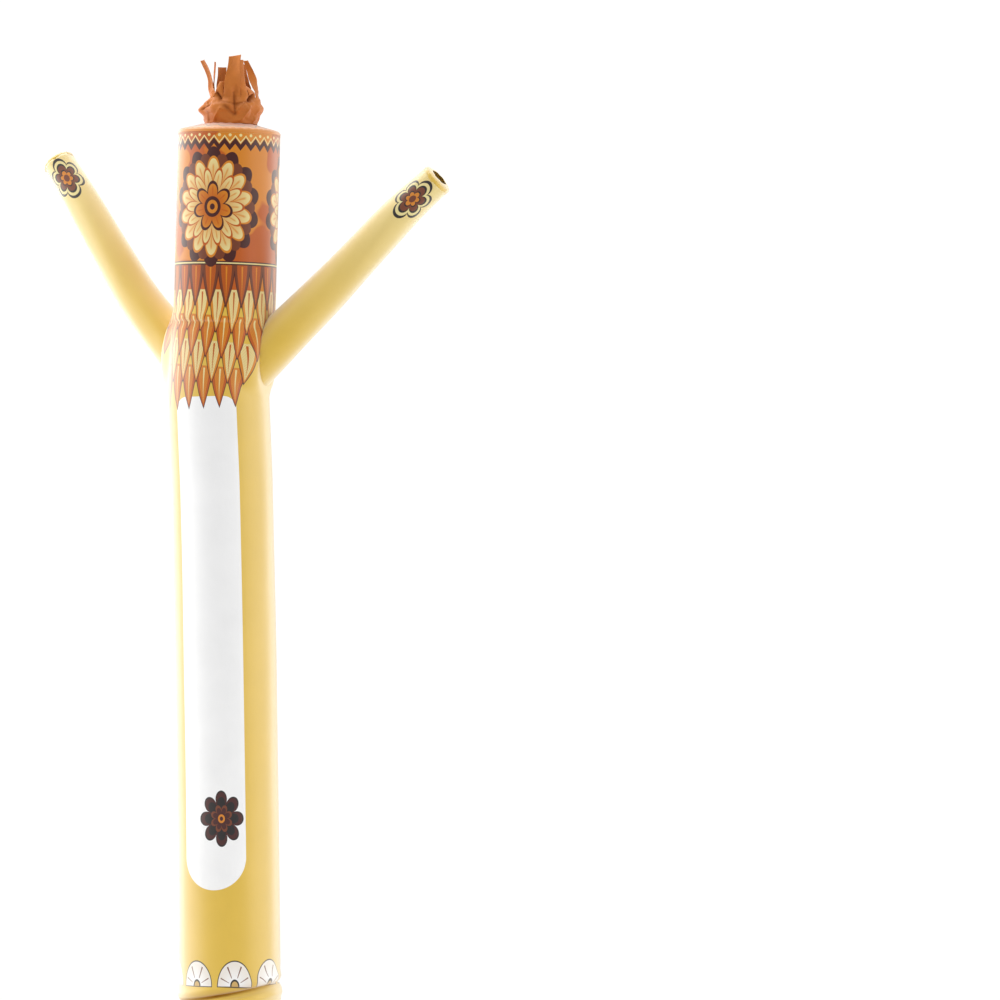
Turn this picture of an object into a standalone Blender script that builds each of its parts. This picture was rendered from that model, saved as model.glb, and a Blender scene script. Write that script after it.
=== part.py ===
"""An inflatable air dancer of thin nylon, blown up and standing, with both arms raised.

Metres, +Z up. The front faces -Y. Angles round the trunk are in degrees from the front towards +X.
One upright tube is the trunk, two tapered tubes are the arms, round panels with a vent hole close
the head and the hands, and a crumpled short tube on the head is cut into strips for the hair.
"""

import math
from collections import namedtuple

import bmesh
import bpy
from mathutils import Matrix, Vector

# Driving dimensions.
CLOTH = 0.002  # thickness of every wall
SEAM_GAP = 0.0003  # between two pieces that are sewn together
TRUNK_RADIUS = 0.152  # a 12 inch tube
TRUNK_TOP = 2.8115  # height of the seam between trunk and crown
ARM_MOUTH_RADIUS = 0.0705
ARM_TIP_RADIUS = 0.0485
ARM_MOUTH_REACH = 0.157  # from the trunk's axis to the middle of an arm's seam
ARM_MOUTH_HEIGHT = 2.168
ARM_ROOT_RISE = 44.0  # degrees above level at which both arms leave the trunk
ARM_PULL = 0.045  # how far from an arm's seam the trunk is drawn out towards it
ARM_START = 0.03  # how far from the trunk's axis an arm's centre line starts, before it is cut
HEM_RISE = 0.2  # up to this height the trunk's leaning rings turn level, to stand on the ground
SHOULDER_LOW, SHOULDER_HIGH = 1.94, 2.42  # heights between which the arms meet the trunk
FOLD_TURN = 17.0  # the angle round the trunk at which its slanting folds are at their own height
HAND_VENT_RADIUS = 0.0275
HAIR_RADIUS = 0.078
HAIR_BASE = TRUNK_TOP + 0.0263
HAIR_SHIFT = 0.005  # the hair stands a little to the right of the head's axis
HAIR_SEAM_RISE = 0.02  # the collar is round at its seam and crumpled from this height up
COLLAR_HEIGHT = 0.072
COLLAR_SWELL = 0.006  # how far the collar bellies out
COLLAR_WIDEST = 0.050  # the height at which it does so most
COLLAR_SWELL_RISE = 0.030  # and how far above and below that it fades
COLLAR_BELLY = 0.062  # above this height the collar's wall is straight
COLLAR_DRAW = 0.6  # and slopes inwards this steeply
CHORD_START, CHORD_END = 0.3, 0.8  # shares of its height between which it turns flat, strip by strip
STRIP_BAND = 0.008  # the uncut band that the strips grow from

# How finely the curved walls are cut.
TRUNK_COLUMNS = 40
ARM_COLUMNS = 24
ARM_ROWS = 11
BORE_ROWS = 5  # of the arm's rows, which reach through the trunk's wall
COLLAR_ROWS = 7
STRIP_STEPS = 6
SHARP_TURN = 50.0  # degrees between two faces above which their edge is sharp

Station = namedtuple("Station", "height drift")
Stretch = namedtuple("Stretch", "start rows")
Crease = namedtuple("Crease", "height tilt depth width middle spread")
Bend = namedtuple("Bend", "reach height")
Arm = namedtuple("Arm", "name azimuth seam_reach path")
Ring = namedtuple("Ring", "radius height")
Dent = namedtuple("Dent", "angle height turn rise depth")
Strip = namedtuple("Strip", "left right rise lean bow sway twist taper")

# The trunk's centre line, which leans to -X up to the arms and back again above them.
TRUNK_LINE = [
    Station(height=0.00, drift=0.0),
    Station(height=0.73, drift=-0.0085),
    Station(height=1.30, drift=-0.0180),
    Station(height=1.75, drift=-0.0280),
    Station(height=1.94, drift=-0.0365),
    Station(height=2.06, drift=-0.0395),
    Station(height=2.29, drift=-0.0205),
    Station(height=2.43, drift=-0.0165),
    Station(height=2.56, drift=-0.0128),
    Station(height=2.80, drift=-0.0062),
]

# Rows of the trunk's wall, closer together where it is creased or joins the arms.
TRUNK_STRETCHES = [
    Stretch(start=0.00, rows=2),
    Stretch(start=0.18, rows=9),
    Stretch(start=0.32, rows=5),
    Stretch(start=1.95, rows=15),
    Stretch(start=2.33, rows=4),
]

# Soft ridges (depth above 0) and troughs (below 0) round the trunk: a slanting fold above the
# bottom sleeve, a fold between the shoulders, and a pinch under the right arm.
TRUNK_CREASES = [
    Crease(height=0.251, tilt=0.030, depth=-0.0055, width=0.010, middle=20, spread=150),
    Crease(height=0.227, tilt=0.030, depth=0.0070, width=0.014, middle=20, spread=170),
    Crease(height=2.263, tilt=0.006, depth=0.0045, width=0.015, middle=-10, spread=85),
    Crease(height=2.236, tilt=0.006, depth=-0.0050, width=0.010, middle=-5, spread=90),
    Crease(height=2.064, tilt=0.000, depth=-0.0065, width=0.013, middle=95, spread=45),
]

# Each arm's centre line, out from the trunk's axis and up, from the seam to the hand.
ARMS = [
    Arm(
        name="left",
        azimuth=-111.0,
        seam_reach=0.165,
        path=[
            Bend(reach=0.157, height=2.168),
            Bend(reach=0.310, height=2.325),
            Bend(reach=0.427, height=2.480),
            Bend(reach=0.540, height=2.636),
            Bend(reach=0.627, height=2.751),
        ],
    ),
    Arm(
        name="right",
        azimuth=85.0,
        seam_reach=0.152,
        path=[
            Bend(reach=0.157, height=2.168),
            Bend(reach=0.342, height=2.340),
            Bend(reach=0.462, height=2.456),
            Bend(reach=0.580, height=2.572),
            Bend(reach=0.682, height=2.657),
        ],
    ),
]

# Profiles of the round panels, from the outer seam inwards to the vent hole.
CROWN_PROFILE = [
    Ring(radius=TRUNK_RADIUS, height=SEAM_GAP),
    Ring(radius=TRUNK_RADIUS, height=0.0030),
    Ring(radius=0.1480, height=0.0080),
    Ring(radius=0.1320, height=0.0135),
    Ring(radius=0.1070, height=0.0195),
    Ring(radius=0.0840, height=0.0258),
    Ring(radius=0.0762, height=0.0260),
]
HAND_PROFILE = [
    Ring(radius=ARM_TIP_RADIUS, height=SEAM_GAP),
    Ring(radius=ARM_TIP_RADIUS, height=0.0030),
    Ring(radius=0.0455, height=0.0080),
    Ring(radius=0.0360, height=0.0115),
    Ring(radius=HAND_VENT_RADIUS, height=0.0125),
]

# Bulges (depth above 0) and hollows (below 0) of the crumpled collar.
COLLAR_DENTS = [
    Dent(angle=-73, height=0.044, turn=22, rise=0.012, depth=0.016),
    Dent(angle=-70, height=0.074, turn=26, rise=0.014, depth=-0.014),
    Dent(angle=-45, height=0.062, turn=11, rise=0.018, depth=-0.008),
    Dent(angle=-22, height=0.036, turn=13, rise=0.022, depth=0.006),
    Dent(angle=2, height=0.058, turn=11, rise=0.022, depth=-0.003),
    Dent(angle=26, height=0.062, turn=7, rise=0.026, depth=-0.009),
    Dent(angle=47, height=0.050, turn=14, rise=0.022, depth=0.005),
    Dent(angle=76, height=0.068, turn=12, rise=0.016, depth=-0.003),
    Dent(angle=105, height=0.058, turn=26, rise=0.026, depth=0.011),
    Dent(angle=147, height=0.046, turn=17, rise=0.020, depth=-0.009),
    Dent(angle=180, height=0.056, turn=16, rise=0.022, depth=0.007),
    Dent(angle=-145, height=0.050, turn=16, rise=0.020, depth=-0.009),
    Dent(angle=-110, height=0.066, turn=17, rise=0.020, depth=-0.008),
]

# The hair's strips, cut between two angles. rise is the height of the tip over the root, lean how
# far the tip is out, bow how far the middle is out beyond that, sway how far the tip goes sideways
# towards higher angles, twist the turn of the tip in degrees, and taper the tip's share of the width.
STRIPS = [
    Strip(left=-79, right=-43, rise=0.112, lean=0.027, bow=-0.010, sway=0.000, twist=-14, taper=0.50),
    Strip(left=-28, right=-5, rise=0.046, lean=-0.014, bow=0.004, sway=0.008, twist=-25, taper=0.55),
    Strip(left=-3, right=39, rise=0.122, lean=-0.004, bow=0.006, sway=0.009, twist=28, taper=0.75),
    Strip(left=41, right=59, rise=0.110, lean=-0.014, bow=-0.004, sway=-0.005, twist=-8, taper=0.90),
    Strip(left=61, right=89, rise=0.038, lean=-0.032, bow=0.010, sway=-0.004, twist=-10, taper=0.70),
    Strip(left=91, right=129, rise=0.113, lean=-0.031, bow=0.007, sway=0.000, twist=120, taper=0.22),
    Strip(left=131, right=165, rise=0.105, lean=-0.020, bow=-0.006, sway=0.004, twist=-24, taper=0.40),
    Strip(left=167, right=207, rise=0.084, lean=-0.006, bow=0.004, sway=0.002, twist=10, taper=0.80),
    Strip(left=209, right=245, rise=0.096, lean=-0.018, bow=0.000, sway=0.006, twist=-8, taper=0.80),
    Strip(left=252, right=274, rise=0.110, lean=-0.012, bow=-0.002, sway=0.002, twist=-66, taper=0.20),
]

YELLOW = (0.776, 0.620, 0.195, 1.0)
PALE_YELLOW = (0.800, 0.660, 0.260, 1.0)
RUST = (0.533, 0.159, 0.048, 1.0)
NYLON_ROUGHNESS = 0.5
HAIR_ROUGHNESS = 0.6
WELD = 1e-5  # points closer together than this are one


def spread_rows(stretches, end):
    """The heights at which each stretch, ending where the next one starts, is cut into its rows."""
    ends = [stretch.start for stretch in stretches[1:]] + [end]
    heights = []
    for stretch, stop in zip(stretches, ends):
        step = (stop - stretch.start) / stretch.rows
        heights += [stretch.start + step * row for row in range(stretch.rows)]
    return heights + [end]


def smooth_at(points, place):
    """The height and the slope, at one place, of a smooth curve through (place, value) points."""
    places = [point[0] for point in points]
    values = [point[1] for point in points]
    last = len(points) - 1
    slopes = []
    for index in range(len(points)):
        before, after = max(index - 1, 0), min(index + 1, last)
        slopes.append((values[after] - values[before]) / (places[after] - places[before]))
    if place <= places[0]:
        return values[0] + slopes[0] * (place - places[0]), slopes[0]
    if place >= places[last]:
        return values[last] + slopes[last] * (place - places[last]), slopes[last]
    index = max(i for i in range(last) if places[i] <= place)
    span = places[index + 1] - places[index]
    t = (place - places[index]) / span
    value = (
        values[index] * (2 * t**3 - 3 * t**2 + 1)
        + values[index + 1] * (3 * t**2 - 2 * t**3)
        + slopes[index] * span * (t**3 - 2 * t**2 + t)
        + slopes[index + 1] * span * (t**3 - t**2)
    )
    slope = (
        (values[index + 1] - values[index]) / span * 6 * (t - t**2)
        + slopes[index] * (3 * t**2 - 4 * t + 1)
        + slopes[index + 1] * (3 * t**2 - 2 * t)
    )
    return value, slope


def bump(distance, width):
    return math.exp(-((distance / width) ** 2))


def ramp(t):
    """Rises smoothly from 0 to 1."""
    t = min(max(t, 0.0), 1.0)
    return t * t * (3 - 2 * t)


def turn_between(angle, other):
    """The shorter way round from one angle to another, in degrees."""
    return (angle - other + 180) % 360 - 180


def outward(angle):
    """The level direction at this angle round the trunk."""
    return Vector((math.sin(math.radians(angle)), -math.cos(math.radians(angle)), 0))


def trunk_axis(height):
    """The point of the trunk's centre line at this height, and the line's lean there."""
    drift, lean = smooth_at(TRUNK_LINE, height)
    return Vector((drift, 0, height)), lean


def crease_depth(angle, height):
    depth = 0
    for crease in TRUNK_CREASES:
        line = crease.height + crease.tilt * math.sin(math.radians(angle - FOLD_TURN))
        fade = bump(turn_between(angle, crease.middle), crease.spread)
        depth += crease.depth * fade * bump(height - line, crease.width)
    return depth


def drawn_to_arm(offset, height, arm, grown):
    """Moves a point of the trunk's wall out to the flat seam of an arm, if it lies near it."""
    out = outward(arm.azimuth)
    seam_reach = arm.seam_reach + grown
    reach = offset.dot(out)
    aside = offset.dot(outward(arm.azimuth + 90))
    rise = math.radians(ARM_ROOT_RISE)
    across = (height - ARM_MOUTH_HEIGHT) * math.cos(rise) - (reach - ARM_MOUTH_REACH) * math.sin(rise)
    from_arm = math.hypot(across, aside) - ARM_MOUTH_RADIUS
    if reach < 0 or reach > seam_reach:
        return offset
    return offset + out * (seam_reach - reach) * ramp(1 - from_arm / ARM_PULL)


def trunk_point(angle, height, grown=0.0):
    """A point of the trunk's outer face, or of that face grown outwards."""
    centre, lean = trunk_axis(height)
    offset = outward(angle) * (TRUNK_RADIUS + crease_depth(angle, height) + grown)
    for arm in ARMS:
        offset = drawn_to_arm(offset, height, arm, grown)
    leaning = ramp(height / HEM_RISE)
    return centre + offset - Vector((0, 0, lean * offset.x * leaning))


def sheet(name, columns, rows, place):
    """A sheet of quads, rolled into a tube, whose corner at (column, row) lies at place."""
    bm = bmesh.new()
    bmesh.ops.create_grid(bm, x_segments=columns, y_segments=rows, size=0.5)
    for vert in bm.verts:
        column, row = round((vert.co.x + 0.5) * columns), round((vert.co.y + 0.5) * rows)
        vert.co = place(column % columns, row)
    bmesh.ops.remove_doubles(bm, verts=bm.verts, dist=WELD)
    bmesh.ops.triangulate(bm, faces=bm.faces, quad_method="FIXED")
    return finish_mesh(name, bm)


def finish_mesh(name, bm):
    mesh = bpy.data.meshes.new(name)
    bm.to_mesh(mesh)
    bm.free()
    mesh.shade_smooth()
    mesh.set_sharp_from_angle(angle=math.radians(SHARP_TURN))
    return bpy.data.objects.new(name, mesh)


def close_ends(obj):
    """Fills the open ends of a tube, which makes it solid."""
    bm = bmesh.new()
    bm.from_mesh(obj.data)
    bmesh.ops.holes_fill(bm, edges=bm.edges)
    bmesh.ops.recalc_face_normals(bm, faces=bm.faces)
    bm.to_mesh(obj.data)
    bm.free()
    return obj


def thicken(obj):
    """Gives a sheet its thickness, inwards from its outer face."""
    solidify = obj.modifiers.new("cloth", "SOLIDIFY")
    solidify.thickness = CLOTH
    solidify.offset = -1
    solidify.use_even_offset = True


def cut(obj, cutter):
    boolean = obj.modifiers.new(f"cut by {cutter.name}", "BOOLEAN")
    boolean.operation = "DIFFERENCE"
    boolean.solver = "EXACT"
    boolean.object = cutter


def paint(obj, name, colour, roughness):
    material = bpy.data.materials.new(name)
    material.use_nodes = True
    shader = material.node_tree.nodes["Principled BSDF"]
    shader.inputs["Base Color"].default_value = colour
    shader.inputs["Roughness"].default_value = roughness
    shader.inputs["Metallic"].default_value = 0.0
    material.diffuse_color = colour
    obj.data.materials.append(material)


def trunk_tube():
    heights = spread_rows(TRUNK_STRETCHES, TRUNK_TOP)

    def place(column, row):
        return trunk_point(360 * column / TRUNK_COLUMNS, heights[row])

    return sheet("trunk_tube", TRUNK_COLUMNS, len(heights) - 1, place)


def shoulder_block():
    """The trunk's shape between the shoulders as a solid block, grown by the gap of a seam."""
    heights = spread_rows(TRUNK_STRETCHES, TRUNK_TOP)
    heights = [height for height in heights if SHOULDER_LOW < height < SHOULDER_HIGH]

    def place(column, row):
        return trunk_point(360 * column / TRUNK_COLUMNS, heights[row], SEAM_GAP)

    return close_ends(sheet("shoulder_block", TRUNK_COLUMNS, len(heights) - 1, place))


def arm_line(arm):
    """Even steps along an arm's centre line, from inside the trunk to the hand."""
    sunk = (ARM_MOUTH_REACH - ARM_START) * math.tan(math.radians(ARM_ROOT_RISE))
    inner = Bend(reach=ARM_START, height=ARM_MOUTH_HEIGHT - sunk)
    bends = [inner] + arm.path
    last = bends[-1].reach
    centre, _ = trunk_axis(ARM_MOUTH_HEIGHT)
    for step in range(ARM_ROWS + 1):
        reach = inner.reach + (last - inner.reach) * step / ARM_ROWS
        height, slope = smooth_at(bends, reach)
        point = Vector((centre.x, centre.y, height)) + outward(arm.azimuth) * reach
        heading = (outward(arm.azimuth) + Vector((0, 0, slope))).normalized()
        yield point, heading, reach


def arm_tube(name, arm, shrunk=0.0, rows=ARM_ROWS):
    """An arm as a tapered tube, or its first rows only; shrunk makes it thinner than its outer face."""
    line = list(arm_line(arm))[: rows + 1]
    aside = outward(arm.azimuth + 90)
    run = arm.path[-1].reach - ARM_MOUTH_REACH

    def place(column, row):
        point, heading, reach = line[row]
        taper = (reach - ARM_MOUTH_REACH) / run
        radius = ARM_MOUTH_RADIUS + (ARM_TIP_RADIUS - ARM_MOUTH_RADIUS) * max(taper, 0) - shrunk
        turn = math.tau * column / ARM_COLUMNS
        above = aside.cross(heading)
        return point + radius * (math.cos(turn) * aside - math.sin(turn) * above)

    return sheet(name, ARM_COLUMNS, rows, place)


def round_panel(name, profile, columns, centre, heading, level):
    """A domed panel turned from its profile, its axis along heading; level is a direction across it."""
    bm = bmesh.new()
    rings = [bm.verts.new((ring.radius, 0, ring.height)) for ring in reversed(profile)]
    for inner, outer in zip(rings, rings[1:]):
        bm.edges.new((inner, outer))
    panel = finish_mesh(name, bm)
    turned = panel.modifiers.new("turned", "SCREW")
    turned.steps = columns
    turned.render_steps = columns
    turned.use_merge_vertices = True
    turned.merge_threshold = WELD
    side = (level - heading * level.dot(heading)).normalized()
    panel.matrix_basis = Matrix((side, heading.cross(side), heading)).transposed().to_4x4()
    panel.location = centre
    return panel


def crown_panel():
    centre, lean = trunk_axis(TRUNK_TOP)
    heading = Vector((lean, 0, 1)).normalized()
    return round_panel("crown_panel", CROWN_PROFILE, TRUNK_COLUMNS, centre, heading, outward(0))


def hand_panel(arm):
    point, heading, _ = list(arm_line(arm))[-1]
    aside = outward(arm.azimuth + 90)
    return round_panel(f"hand_panel_{arm.name}", HAND_PROFILE, ARM_COLUMNS, point, heading, aside)


def hair_point(angle, height):
    """A point of the hair tube's outer face, height above its base."""
    centre, _ = trunk_axis(HAIR_BASE)
    level = min(height, COLLAR_BELLY)
    depth = COLLAR_SWELL * bump(level - COLLAR_WIDEST, COLLAR_SWELL_RISE)
    for dent in COLLAR_DENTS:
        fade = bump(turn_between(angle, dent.angle), dent.turn) * bump(level - dent.height, dent.rise)
        depth += dent.depth * fade
    radius = HAIR_RADIUS + depth * ramp(height / HAIR_SEAM_RISE) - COLLAR_DRAW * (height - level)
    return centre + Vector((HAIR_SHIFT, 0, height)) + outward(angle) * radius


def strip_edges():
    """The angles of the strips' edges, two for each strip."""
    return [edge for strip in STRIPS for edge in (strip.left, strip.right)]


def chord_point(angle, height):
    """A point of the hair at this angle, on the straight chords between the strips' edges."""
    edges = strip_edges()
    edges.append(edges[0] + 360)
    angle = (angle - edges[0]) % 360 + edges[0]
    index = max(i for i in range(len(edges) - 1) if edges[i] <= angle + 1e-9)
    share = (angle - edges[index]) / (edges[index + 1] - edges[index])
    return hair_point(edges[index], height).lerp(hair_point(edges[index + 1], height), share)


def collar_angles():
    """The strips' edges with two more angles between the edges of each strip."""
    angles = []
    edges = strip_edges()
    for left, right in zip(edges[::2], edges[1::2]):
        angles += [left, left + (right - left) / 3, left + (right - left) * 2 / 3, right]
    return angles


def hair_collar():
    angles = collar_angles()

    def place(column, row):
        height = SEAM_GAP + (COLLAR_HEIGHT - SEAM_GAP) * row / COLLAR_ROWS
        flat = ramp((height / COLLAR_HEIGHT - CHORD_START) / (CHORD_END - CHORD_START))
        return hair_point(angles[column], height).lerp(chord_point(angles[column], height), flat)

    return sheet("hair_collar", len(angles), COLLAR_ROWS, place)


def strip_point(strip, side, step):
    """A point on a strip's left (side -1) or right (side 1) edge, step steps above its root."""
    top = COLLAR_HEIGHT + SEAM_GAP + STRIP_BAND
    left, right = hair_point(strip.left, top), hair_point(strip.right, top)
    across = (right - left) / 2
    t = step / STRIP_STEPS
    angle = (strip.left + strip.right) / 2
    middle = (left + right) / 2
    middle += outward(angle) * (strip.bow * math.sin(math.pi * t) + strip.lean * t)
    middle += outward(angle + 90) * strip.sway * t**1.5
    middle.z += strip.rise * t
    turn = math.radians(strip.twist) * ramp(t)
    turned = across * math.cos(turn) + outward(angle) * across.length * math.sin(turn)
    return middle + turned * side * (1 + (strip.taper - 1) * t)


def hair_strips():
    """A narrow band, and above it each strip grown step by step from its stretch of the band."""
    edges = strip_edges()
    low = COLLAR_HEIGHT + SEAM_GAP
    band = sheet("hair_strips", len(edges), 1, lambda c, r: hair_point(edges[c], low + STRIP_BAND * r))
    bm = bmesh.new()
    bm.from_mesh(band.data)
    for index, strip in enumerate(STRIPS):
        corners = [hair_point(edge, low + STRIP_BAND) for edge in edges[2 * index : 2 * index + 2]]
        left, right = [min(bm.verts, key=lambda v: (v.co - corner).length) for corner in corners]
        for step in range(1, STRIP_STEPS + 1):
            grown = bmesh.ops.extrude_edge_only(bm, edges=[bm.edges.get((left, right))])
            tips = [part for part in grown["geom"] if isinstance(part, bmesh.types.BMVert)]
            left = min(tips, key=lambda v: (v.co - left.co).length)
            right = next(tip for tip in tips if tip is not left)
            left.co = strip_point(strip, -1, step)
            right.co = strip_point(strip, 1, step)
    bmesh.ops.recalc_face_normals(bm, faces=bm.faces)
    bm.to_mesh(band.data)
    bm.free()
    return band


def stand_on_origin(root, pieces):
    """Moves the whole dancer so that its box stands on the origin, over the box's middle."""
    bpy.context.view_layer.update()
    graph = bpy.context.evaluated_depsgraph_get()
    points = [
        piece.matrix_world @ vert.co
        for piece in pieces
        for vert in piece.evaluated_get(graph).data.vertices
    ]
    low = Vector([min(point[i] for point in points) for i in range(3)])
    high = Vector([max(point[i] for point in points) for i in range(3)])
    root.location = -Vector(((low.x + high.x) / 2, (low.y + high.y) / 2, low.z))


def main():
    for obj in list(bpy.data.objects):
        bpy.data.objects.remove(obj)
    pieces_in = bpy.data.collections.new("air_dancer")
    cutters_in = bpy.data.collections.new("cutters")
    bpy.context.scene.collection.children.link(pieces_in)
    bpy.context.scene.collection.children.link(cutters_in)
    root = bpy.data.objects.new("air_dancer_root", None)
    pieces_in.objects.link(root)

    trunk, crown = trunk_tube(), crown_panel()
    collar, strips = hair_collar(), hair_strips()
    shoulders = shoulder_block()
    cutters = [shoulders]
    pieces = [trunk, crown, collar, strips]
    for piece in pieces:
        thicken(piece)
    paint(trunk, "trunk_cloth", YELLOW, NYLON_ROUGHNESS)
    paint(crown, "crown_cloth", PALE_YELLOW, NYLON_ROUGHNESS)
    paint(collar, "collar_cloth", RUST, HAIR_ROUGHNESS)
    paint(strips, "strip_cloth", RUST, HAIR_ROUGHNESS)

    for arm in ARMS:
        tube, hand = arm_tube(f"arm_{arm.name}", arm), hand_panel(arm)
        bore = close_ends(arm_tube(f"bore_{arm.name}", arm, shrunk=CLOTH, rows=BORE_ROWS))
        thicken(tube)
        thicken(hand)
        cut(tube, shoulders)
        cut(trunk, bore)
        paint(tube, f"arm_cloth_{arm.name}", YELLOW, NYLON_ROUGHNESS)
        paint(hand, f"hand_cloth_{arm.name}", PALE_YELLOW, NYLON_ROUGHNESS)
        pieces += [tube, hand]
        cutters.append(bore)

    for piece in pieces:
        pieces_in.objects.link(piece)
    for cutter in cutters:
        cutters_in.objects.link(cutter)
        cutter.hide_render = True
        cutter.display_type = "WIRE"
    for obj in pieces + cutters:
        obj.parent = root
    stand_on_origin(root, pieces)


main()
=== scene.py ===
"""The looks of an inflatable air dancer: thin printed nylon, blown up, sewn and lit in a studio.

Metres, +Z up. The front faces -Y. Angles round the trunk are in degrees from the front towards +X.
The cloth follows the frame's solids on finer grids, with its seams, puckers, folds, print and thread.
"""

import math
from collections import namedtuple
from functools import partialmethod

import bpy
import numpy as np
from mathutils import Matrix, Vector


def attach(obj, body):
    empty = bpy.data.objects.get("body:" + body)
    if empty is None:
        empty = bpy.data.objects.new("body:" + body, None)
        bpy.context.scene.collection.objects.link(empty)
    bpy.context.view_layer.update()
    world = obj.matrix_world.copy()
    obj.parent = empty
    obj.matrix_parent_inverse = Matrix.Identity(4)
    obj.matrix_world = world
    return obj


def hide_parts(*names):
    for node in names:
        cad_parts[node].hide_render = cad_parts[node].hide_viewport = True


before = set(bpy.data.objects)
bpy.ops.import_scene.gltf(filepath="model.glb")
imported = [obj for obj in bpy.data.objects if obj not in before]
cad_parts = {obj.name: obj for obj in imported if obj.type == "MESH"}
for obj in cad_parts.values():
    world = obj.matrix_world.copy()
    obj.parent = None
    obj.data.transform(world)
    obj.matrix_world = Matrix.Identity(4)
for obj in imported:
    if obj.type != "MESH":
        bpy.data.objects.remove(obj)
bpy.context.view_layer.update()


def table(columns, rows):
    """Rows of values that go by the names of their columns, of which the last may be left out."""
    row_type = namedtuple("Row", columns, defaults=[None])
    return [row_type(*row) for row in rows]


# The frame's own sizes, as it was built.
TRUNK_RADIUS = 0.152
TRUNK_ROUND = math.tau * TRUNK_RADIUS
TRUNK_TOP = 2.8115
ARM_MOUTH_RADIUS = 0.0705
ARM_TIP_RADIUS = 0.0485
ARM_MIDDLE_RADIUS = (ARM_MOUTH_RADIUS + ARM_TIP_RADIUS) / 2
ARM_MOUTH_REACH = 0.157
ARM_MOUTH_HEIGHT = 2.168
ARM_ROOT_RISE = 44.0
ARM_PULL = 0.045
ARM_START = 0.03
HAIR_RADIUS = 0.078
HAIR_ROUND = math.tau * HAIR_RADIUS
HAIR_BASE = TRUNK_TOP + 0.0263
HAIR_SHIFT = 0.005
COLLAR_HEIGHT = 0.0803
COLLAR_BELLY = 0.062
COLLAR_DRAW = 0.6
COLLAR_FOOT = 0.02
FOLD_TURN = 17.0
HEM_RISE = 0.2

# The cloth and its sewing.
CLOTH = 0.0008
HAIR_CLOTH = 0.0006
HEM_HEIGHT = 0.028
HEM_EDGE = 0.005
HOLE_MARGIN = 0.006  # how far the trunk's cloth goes on inside an arm's mouth
THREAD_RADIUS = 0.0005
THREAD_COLOUR = (0.72, 0.52, 0.20)
THREAD_TWIST = 900.0
STITCH_STEP = 0.004
STITCH_LENGTH = 0.8 * STITCH_STEP
STITCH_SIDES = 5
SEAM_WIDTH = 0.011
SEAM_CLOTH = 0.0007
SEAM_LIFT = 0.0010
SEAM_THREADS = 0.6  # share of the seam's half width where its two threads run
SEAM_ROWS = 400
SEAM_END = 0.012
ARM_SEAM_ROWS = 120
ARM_SEAM_START = 0.006
ARM_SEAM_END = 0.008
BACK = 180.0

TRUNK_LINE = table("height drift", [
    (0.00, 0.0000), (0.73, -0.0085), (1.30, -0.0180), (1.75, -0.0280), (1.94, -0.0365),
    (2.06, -0.0395), (2.29, -0.0205), (2.43, -0.0165), (2.56, -0.0128), (2.80, -0.0062),
])

CREASE = "height tilt depth width middle spread"
TRUNK_CREASES = table(CREASE, [
    (0.251, 0.030, -0.0055, 0.010, 20, 150),
    (0.227, 0.030, 0.0070, 0.014, 20, 170),
    (2.263, 0.006, 0.0045, 0.015, -10, 85),
    (2.236, 0.006, -0.0050, 0.010, -5, 90),
    (2.064, 0.000, -0.0065, 0.013, 95, 45),
])
# Finer folds that only the cloth has: ripples by the bottom fold, and slack at the chest.
FINE_CREASES = table(CREASE, [
    (0.2620, 0.026, -0.0085, 0.0060, 20, 90),
    (0.2790, 0.026, 0.0040, 0.0110, 20, 110),
    (0.2380, 0.034, 0.0020, 0.0060, 40, 60),
    (0.292, 0.020, 0.0016, 0.012, 60, 60),
    (0.272, -0.012, -0.0014, 0.007, 95, 40),
    (0.196, 0.022, -0.0030, 0.009, 35, 75),
    (0.172, -0.014, 0.0022, 0.010, -20, 60),
    (0.205, 0.010, -0.0026, 0.008, -120, 60),
    (0.140, 0.030, -0.0020, 0.010, 150, 50),
    (2.246, 0.008, -0.0052, 0.0046, -12, 60),
    (2.294, -0.016, 0.0012, 0.010, -40, 30),
    (2.205, 0.020, -0.0012, 0.008, 25, 35),
])
# How far the cloth above the bottom fold hangs down over it.
FOOT_SAG = table(CREASE, [(0.2700, 0.026, 0.0050, 0.0090, 20, 100)])

BEND = "reach height"
ARMS = table("name azimuth seam_reach seam_turn path", [
    ("left", -111.0, 0.165, 200.0, table(BEND, [
        (0.157, 2.168), (0.310, 2.325), (0.427, 2.480), (0.540, 2.636), (0.627, 2.751),
    ])),
    ("right", 85.0, 0.152, -20.0, table(BEND, [
        (0.157, 2.168), (0.342, 2.340), (0.462, 2.456), (0.580, 2.572), (0.682, 2.657),
    ])),
])
ARM_STEEP = math.sqrt(2)  # length along an arm, at its slope of about 45 degrees, for each metre out

# Slow waves that leave no cloth quite even.
TRUNK_WAVES, ARM_WAVES = table("depth length seed", [(0.0007, 0.55, 4), (0.0009, 0.22, 11)])
ARM_WAVES_START = 0.05

# Puckers are waves of cloth gathered at a seam: how deep, how many round it, and where. The wobble
# makes them uneven.
PUCKER = "depth count start wobble wobbles place width"
ROOT_PUCKERS = table(PUCKER, [(0.0011, 26, 0, 2, 3, 0, 0.020)])
TIP_PUCKERS = table(PUCKER, [(0.0007, 20, 0, 0, 0, 0, 0.014)])
ROOT_EDGE = 0.006
TIP_EDGE = 0.004
ROOT_TUCK = 0.0012
ROOT_TUCK_WIDTH = 0.003
RIM_EDGE = 0.003

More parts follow.
